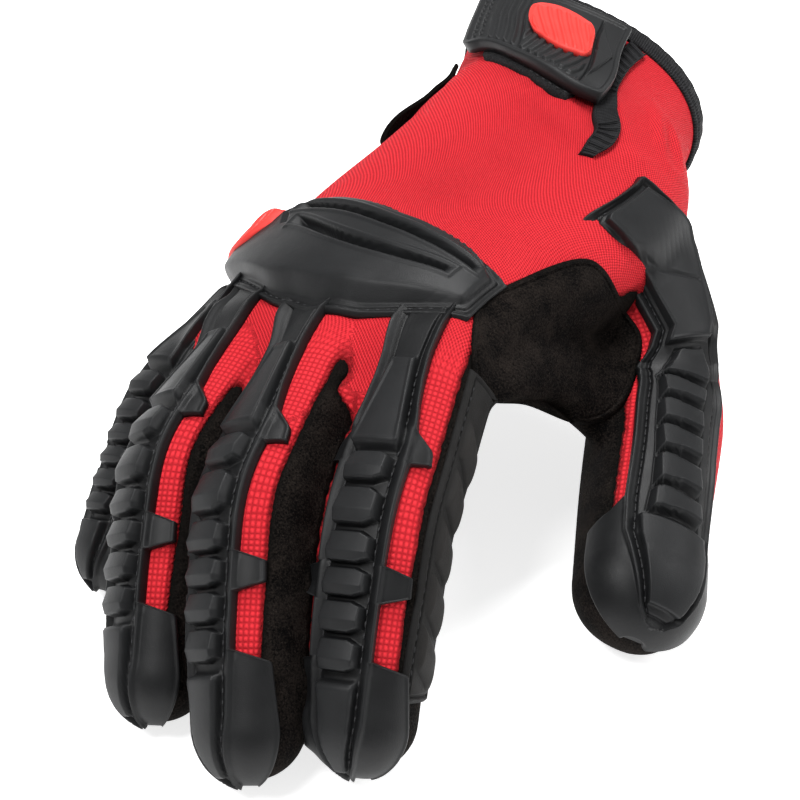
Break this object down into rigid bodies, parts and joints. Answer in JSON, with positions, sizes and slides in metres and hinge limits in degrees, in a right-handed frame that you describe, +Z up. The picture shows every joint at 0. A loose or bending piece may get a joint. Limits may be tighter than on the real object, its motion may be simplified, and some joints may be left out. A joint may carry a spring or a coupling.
{
  "type": "impact glove",
  "caption": "Right-hand impact work glove with a knit back, suede palm, moulded rubber knuckle, finger and thumb guards and a strapped cuff, posed as worn.",
  "frame": {"origin": "centre of the cuff's mouth, where the hand goes in", "axes": "+Z up as the hand stands on its fingertips; the fingers run towards -Y, turned 30 degrees about Z so that they point to -X and -Y; the thumb is on the +X side"},
  "size_m": [0.161, 0.2383, 0.0863],
  "materials": {
    "red_knit": "stretch knit, matt",
    "black_suede": "synthetic suede",
    "black_rubber": "moulded, satin",
    "black_tape": "woven tape and loop pile",
    "red_rubber": "moulded, satin"
  },
  "bodies": {
    "root": {"knit_back": "red_knit", "suede_palm": "black_suede", "index_guard": "black_rubber", "middle_guard": "black_rubber", "ring_guard": "black_rubber", "little_guard": "black_rubber", "thumb_guard": "black_rubber", "knuckle_guard": "black_rubber", "web_patch": "black_suede", "index_side_patch": "black_suede", "loop_patch": "black_tape", "closure_strap": "black_rubber", "cuff_binding": "black_tape", "vent_tape": "black_tape", "pull_tab": "black_suede", "strap_badge": "red_rubber", "knuckle_badge": "red_rubber"}
  },
  "joints": []
}
